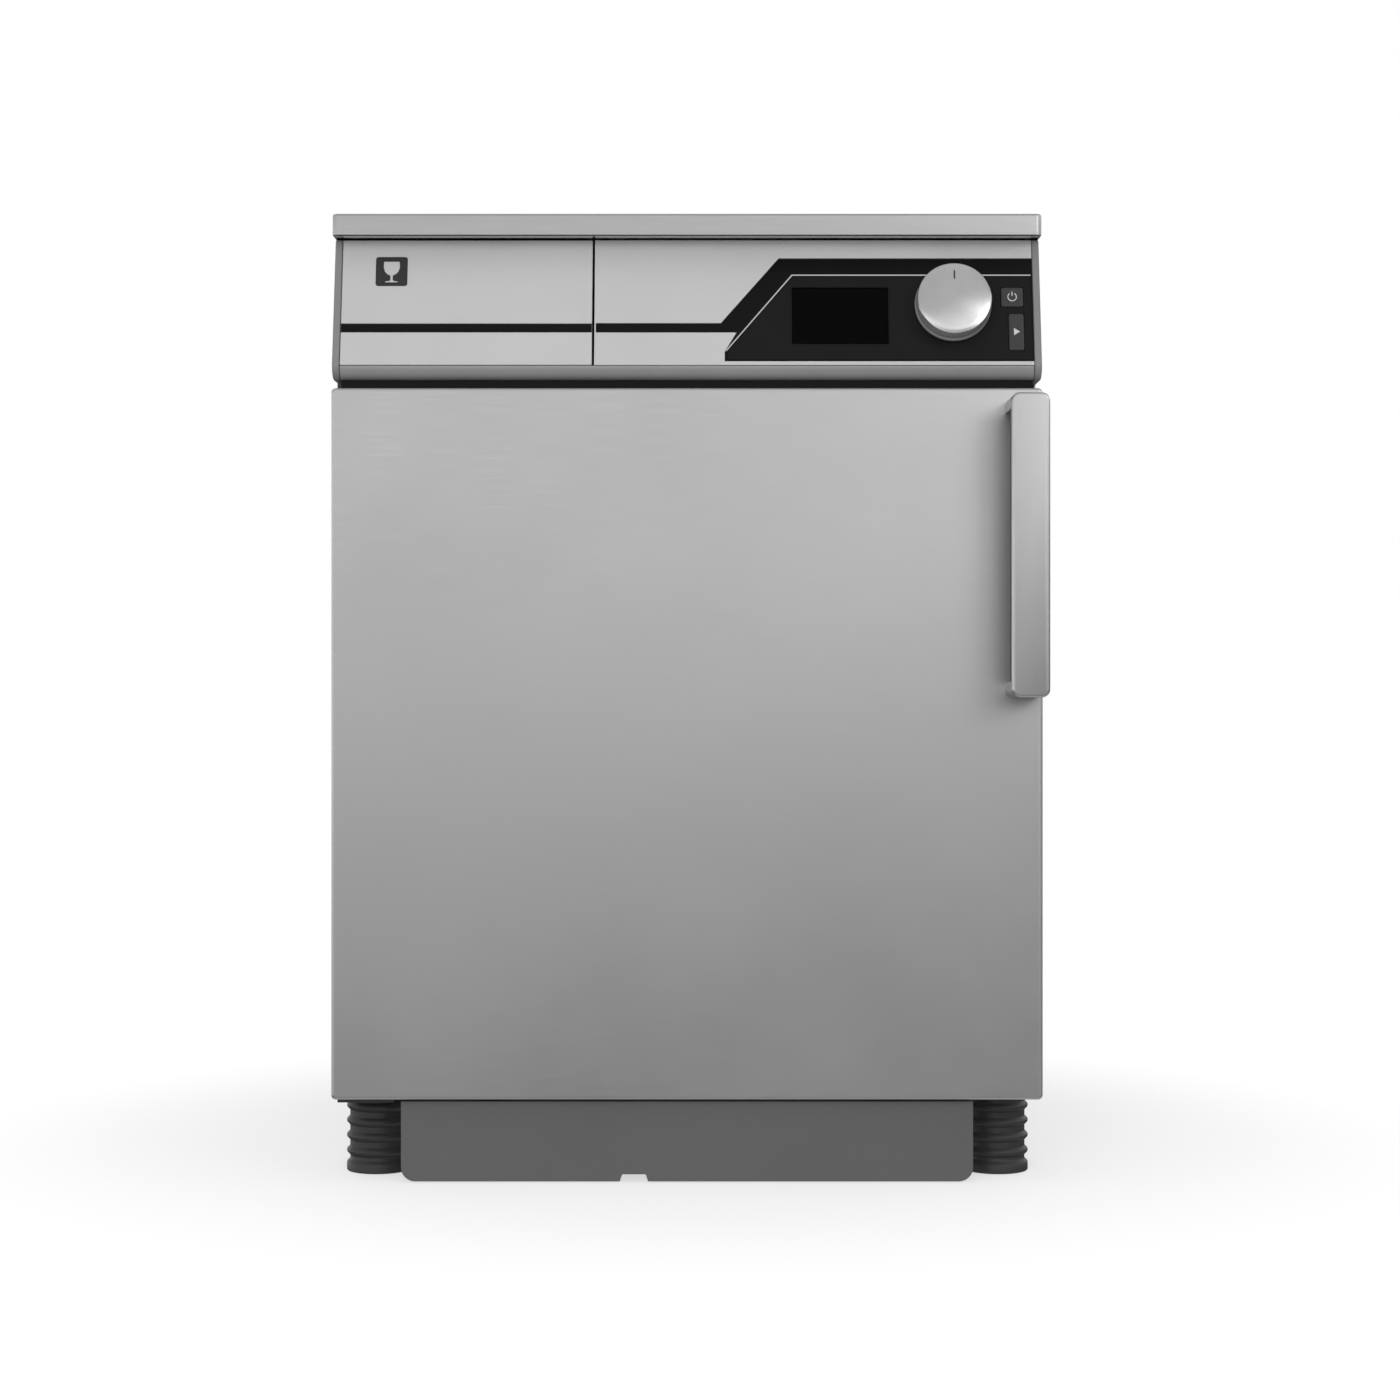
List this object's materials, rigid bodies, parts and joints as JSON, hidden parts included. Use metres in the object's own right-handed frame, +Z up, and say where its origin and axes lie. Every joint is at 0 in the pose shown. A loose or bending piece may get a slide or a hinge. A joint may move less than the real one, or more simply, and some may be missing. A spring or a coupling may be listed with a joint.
{
  "type": "glass washer machine",
  "caption": "Under-counter commercial glass washer: steel cabinet, side-hinged door with bar handle, sloped fascia with knob, display and detergent drawer, ribbed feet.",
  "frame": {"origin": "centre of the footprint on the floor, midway in width and in the full depth from the handle's front to the rear panel", "axes": "+X to the machine's right seen from the front, +Y from the door towards the rear, +Z up"},
  "size_m": [0.6, 0.65, 0.82],
  "materials": {
    "stainless": "brushed",
    "door_stainless": "satin",
    "chamber_steel": "polished",
    "zinc_steel": "galvanised",
    "hinge_steel": "satin",
    "pin_steel": "polished",
    "heater_steel": "satin",
    "plinth_steel": "matt",
    "handle_aluminium": "satin",
    "knob_aluminium": "spun",
    "trim_chrome": "bright",
    "fascia_silver": "metallic lacquer",
    "rail_silver": "metallic lacquer",
    "cap_grey": "satin",
    "inset_black": "gloss",
    "display_black": "gloss",
    "button_grey": "satin",
    "board_green": "matt",
    "drawer_white": "satin",
    "plastic_black": "matt",
    "plastic_grey": "matt",
    "filter_grey": "matt",
    "nut_dark": "matt",
    "arm_grey": "satin",
    "rack_blue": "satin",
    "foot_black": "matt",
    "rotor_plastic": "matt",
    "motor_metal": "cast",
    "boiler_jacket": "foam jacket",
    "valve_white": "matt",
    "seal_rubber": "matt",
    "hose_rubber": "matt"
  },
  "bodies": {
    "cabinet": {"worktop": "stainless", "side_panel_left": "stainless", "side_panel_right": "stainless", "rear_panel": "zinc_steel", "base_tray": "zinc_steel", "plinth_plate": "plinth_steel", "front_frame": "stainless", "wash_chamber": "chamber_steel", "door_gasket": "seal_rubber", "upper_hinge_plate": "hinge_steel", "lower_hinge_plate": "hinge_steel", "upper_hinge_pin": "pin_steel", "lower_hinge_pin": "pin_steel", "fascia_panel": "fascia_silver", "control_inset": "inset_black", "display_window": "display_black", "fascia_rail": "rail_silver", "fascia_cap_left": "cap_grey", "fascia_cap_right": "cap_grey", "inset_trim": "trim_chrome", "control_board": "board_green", "drawer_housing": "drawer_white", "door_lock": "plastic_black", "sump": "plastic_grey", "sump_filter": "filter_grey", "wash_heater": "heater_steel", "lower_arm_post": "chamber_steel", "upper_arm_post": "chamber_steel", "lower_arm_nut": "nut_dark", "upper_arm_nut": "nut_dark", "glass_rack": "rack_blue", "pump_volute": "plastic_black", "pump_motor": "motor_metal", "drain_pump": "plastic_black", "boiler": "boiler_jacket", "inlet_valve": "valve_white", "dosing_pump": "plastic_grey", "connection_plate": "zinc_steel", "drain_outlet": "plastic_black", "mains_gland": "plastic_black", "suction_hose": "hose_rubber", "riser_hose": "hose_rubber", "rinse_hose": "hose_rubber", "drain_hose": "hose_rubber"},
    "door": {"door_skin": "door_stainless", "door_inner_panel": "chamber_steel", "door_striker": "pin_steel", "door_handle": "handle_aluminium"},
    "detergent_drawer": {"drawer_front": "fascia_silver", "drawer_box": "drawer_white"},
    "knob": {"program_knob": "knob_aluminium"},
    "power_key": {"power_button": "button_grey"},
    "start_key": {"start_button": "button_grey"},
    "lower_arm": {"lower_spray_arm": "arm_grey"},
    "upper_arm": {"upper_spray_arm": "arm_grey"},
    "rotor": {"pump_rotor": "rotor_plastic"},
    "foot_1": {"foot_front_left": "foot_black"},
    "foot_2": {"foot_front_right": "foot_black"},
    "foot_3": {"foot_rear_left": "foot_black"},
    "foot_4": {"foot_rear_right": "foot_black"}
  },
  "joints": [
    {"name": "door_hinge", "type": "hinge", "parent": "cabinet", "child": "door", "pos_m": [-0.29, -0.24, 0.372], "axis": [0, 0, -1], "range_deg": [0, 110]},
    {"name": "drawer_slide", "type": "slide", "parent": "cabinet", "child": "detergent_drawer", "axis": [0, -1, 0], "range_m": [0, 0.14]},
    {"name": "knob_turn", "type": "hinge", "parent": "cabinet", "child": "knob", "pos_m": [0.2255, -0.25724, 0.7435], "axis": [0, -0.9749, 0.2226], "continuous": true},
    {"name": "power_press", "type": "slide", "parent": "cabinet", "child": "power_key", "axis": [0, 0.9749, -0.2226], "range_m": [0, 0.002], "stiffness_N_per_m": 500},
    {"name": "start_press", "type": "slide", "parent": "cabinet", "child": "start_key", "axis": [0, 0.9749, -0.2226], "range_m": [0, 0.002], "stiffness_N_per_m": 500},
    {"name": "lower_arm_spin", "type": "hinge", "parent": "cabinet", "child": "lower_arm", "pos_m": [0, 0.05, 0.2475], "axis": [0, 0, 1], "continuous": true},
    {"name": "upper_arm_spin", "type": "hinge", "parent": "cabinet", "child": "upper_arm", "pos_m": [0, 0.05, 0.6055], "axis": [0, 0, 1], "continuous": true},
    {"name": "rotor_spin", "type": "hinge", "parent": "cabinet", "child": "rotor", "pos_m": [0.17, -0.034, 0.128], "axis": [0, -1, 0], "continuous": true},
    {"name": "foot_front_left_height", "type": "slide", "parent": "cabinet", "child": "foot_1", "axis": [0, 0, -1], "range_m": [0, 0.02]},
    {"name": "foot_front_right_height", "type": "slide", "parent": "cabinet", "child": "foot_2", "axis": [0, 0, -1], "range_m": [0, 0.02]},
    {"name": "foot_rear_left_height", "type": "slide", "parent": "cabinet", "child": "foot_3", "axis": [0, 0, -1], "range_m": [0, 0.02]},
    {"name": "foot_rear_right_height", "type": "slide", "parent": "cabinet", "child": "foot_4", "axis": [0, 0, -1], "range_m": [0, 0.02]}
  ]
}
